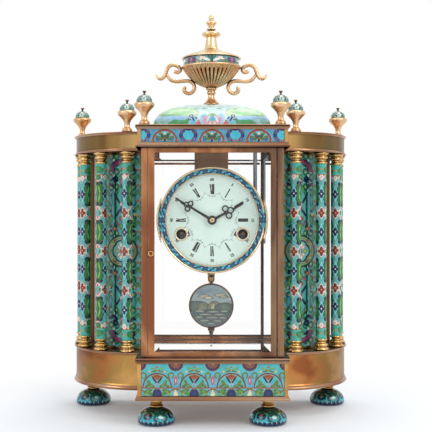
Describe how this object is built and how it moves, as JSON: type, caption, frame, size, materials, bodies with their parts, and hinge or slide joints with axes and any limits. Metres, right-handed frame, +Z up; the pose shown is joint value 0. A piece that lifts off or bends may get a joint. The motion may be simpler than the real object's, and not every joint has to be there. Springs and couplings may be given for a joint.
{
  "type": "pendulum clock",
  "caption": "Mantel clock: glazed brass case with enamel dial and pendulum, bowed enamelled wings with columns, domed top with an urn.",
  "frame": {"origin": "on the floor under the middle of the clock", "axes": "+Z up, -Y towards the front, +X to the right seen from the front"},
  "size_m": [0.3564, 0.1692, 0.4885],
  "materials": {
    "gilt_brass": "polished, lacquered",
    "bronzed_brass": "drawn bar, brown lacquer",
    "cloisonne": "vitreous enamel between brass wires on copper",
    "glass": "clear plate",
    "dial_enamel": "white vitreous enamel, black numerals",
    "blued_steel": "blued, polished",
    "steel": "ground steel"
  },
  "bodies": {
    "case": {"base_plate": "bronzed_brass", "base_box": "gilt_brass", "base_front_panel": "cloisonne", "top_front_panel": "cloisonne", "dome": "cloisonne", "front_foot_left": "cloisonne", "front_foot_right": "cloisonne", "wing_foot_left": "cloisonne", "wing_foot_right": "cloisonne", "column_left_1": "cloisonne", "column_left_2": "cloisonne", "column_left_3": "cloisonne", "column_left_4": "cloisonne", "column_right_1": "cloisonne", "column_right_2": "cloisonne", "column_right_3": "cloisonne", "column_right_4": "cloisonne", "wing_shell_left": "cloisonne", "wing_shell_right": "cloisonne", "ceiling_plate": "gilt_brass", "top_box": "gilt_brass", "finial_left_inner": "gilt_brass", "finial_left_outer": "gilt_brass", "finial_left_front": "gilt_brass", "finial_right_inner": "gilt_brass", "finial_right_outer": "gilt_brass", "finial_right_front": "gilt_brass", "urn_bowl": "gilt_brass", "urn_lid": "gilt_brass", "post_front_left": "bronzed_brass", "post_front_right": "bronzed_brass", "post_back_left": "bronzed_brass", "post_back_right": "bronzed_brass", "side_pane_left": "glass", "side_pane_right": "glass", "dial": "dial_enamel", "bezel": "gilt_brass", "movement_front_plate": "gilt_brass", "movement_back_plate": "gilt_brass", "gong": "steel"},
    "front_door": {"front_door_frame": "bronzed_brass", "front_door_pane": "glass"},
    "front_button": {"front_door_button": "gilt_brass"},
    "back_door": {"back_door_frame": "bronzed_brass", "back_door_pane": "glass"},
    "back_button": {"back_door_button": "gilt_brass"},
    "centre_arbor": {"centre_wheel": "gilt_brass", "minute_hand": "blued_steel"},
    "hour_pipe": {"hour_hand": "blued_steel"},
    "second_arbor": {"second_wheel": "gilt_brass"},
    "going_barrel": {"going_barrel": "gilt_brass"},
    "strike_barrel": {"strike_barrel": "gilt_brass"},
    "third_arbor": {"third_wheel": "gilt_brass"},
    "escape_arbor": {"escape_wheel": "gilt_brass"},
    "pendulum": {"anchor": "steel", "pendulum_rod": "gilt_brass", "pendulum_bob": "cloisonne"},
    "rating_nut": {"rating_nut": "gilt_brass"},
    "hammer": {"hammer": "steel"}
  },
  "joints": [
    {"name": "front_door", "type": "hinge", "parent": "case", "child": "front_door", "pos_m": [0.072, -0.0723, 0.199], "axis": [0, 0, 1], "range_deg": [0, 95]},
    {"name": "front_button", "type": "slide", "parent": "front_door", "child": "front_button", "axis": [0, 1, 0], "range_m": [0, 0.002], "stiffness_N_per_m": 300, "springref_m": -0.001},
    {"name": "back_door", "type": "hinge", "parent": "case", "child": "back_door", "pos_m": [-0.072, 0.0805, 0.199], "axis": [0, 0, 1], "range_deg": [0, 95]},
    {"name": "back_button", "type": "slide", "parent": "back_door", "child": "back_button", "axis": [0, -1, 0], "range_m": [0, 0.002], "stiffness_N_per_m": 300, "springref_m": -0.001},
    {"name": "minute_arbor", "type": "hinge", "parent": "case", "child": "centre_arbor", "pos_m": [0, -0.02, 0.2362], "axis": [0, 1, 0], "continuous": true},
    {"name": "hour_pipe", "type": "hinge", "parent": "case", "child": "hour_pipe", "pos_m": [0, -0.045, 0.2362], "axis": [0, 1, 0], "continuous": true},
    {"name": "second_arbor", "type": "hinge", "parent": "case", "child": "second_arbor", "pos_m": [0.01233, -0.02, 0.22132], "axis": [0, 1, 0], "continuous": true},
    {"name": "going_barrel", "type": "hinge", "parent": "case", "child": "going_barrel", "pos_m": [0.036, -0.02, 0.2197], "axis": [0, 1, 0], "continuous": true},
    {"name": "third_arbor", "type": "hinge", "parent": "case", "child": "third_arbor", "pos_m": [-0.00761, -0.02, 0.25331], "axis": [0, 1, 0], "continuous": true},
    {"name": "escape_arbor", "type": "hinge", "parent": "case", "child": "escape_arbor", "pos_m": [0, -0.02, 0.2672], "axis": [0, 1, 0], "continuous": true},
    {"name": "strike_barrel", "type": "hinge", "parent": "case", "child": "strike_barrel", "pos_m": [-0.036, -0.02, 0.2197], "axis": [0, 1, 0], "continuous": true},
    {"name": "pendulum_swing", "type": "hinge", "parent": "case", "child": "pendulum", "pos_m": [0, 0.006, 0.2837], "axis": [0, 1, 0], "range_deg": [-4, 4]},
    {"name": "rating_nut", "type": "hinge", "parent": "pendulum", "child": "rating_nut", "pos_m": [0, 0.006, 0.0982], "axis": [0, 0, 1], "continuous": true},
    {"name": "hammer", "type": "hinge", "parent": "case", "child": "hammer", "pos_m": [0.03, 0.01, 0.2612], "axis": [0, 1, 0], "range_deg": [0, 14], "stiffness_Nm_per_rad": 0.05, "springref_deg": -5.73}
  ],
  "couplings": [
    {"joint": "hour_pipe", "follows": "minute_arbor", "ratio": 0.083333},
    {"joint": "second_arbor", "follows": "minute_arbor", "ratio": -0.16667},
    {"joint": "going_barrel", "follows": "minute_arbor", "ratio": 0.027778},
    {"joint": "third_arbor", "follows": "minute_arbor", "ratio": -12},
    {"joint": "escape_arbor", "follows": "minute_arbor", "ratio": 132}
  ]
}
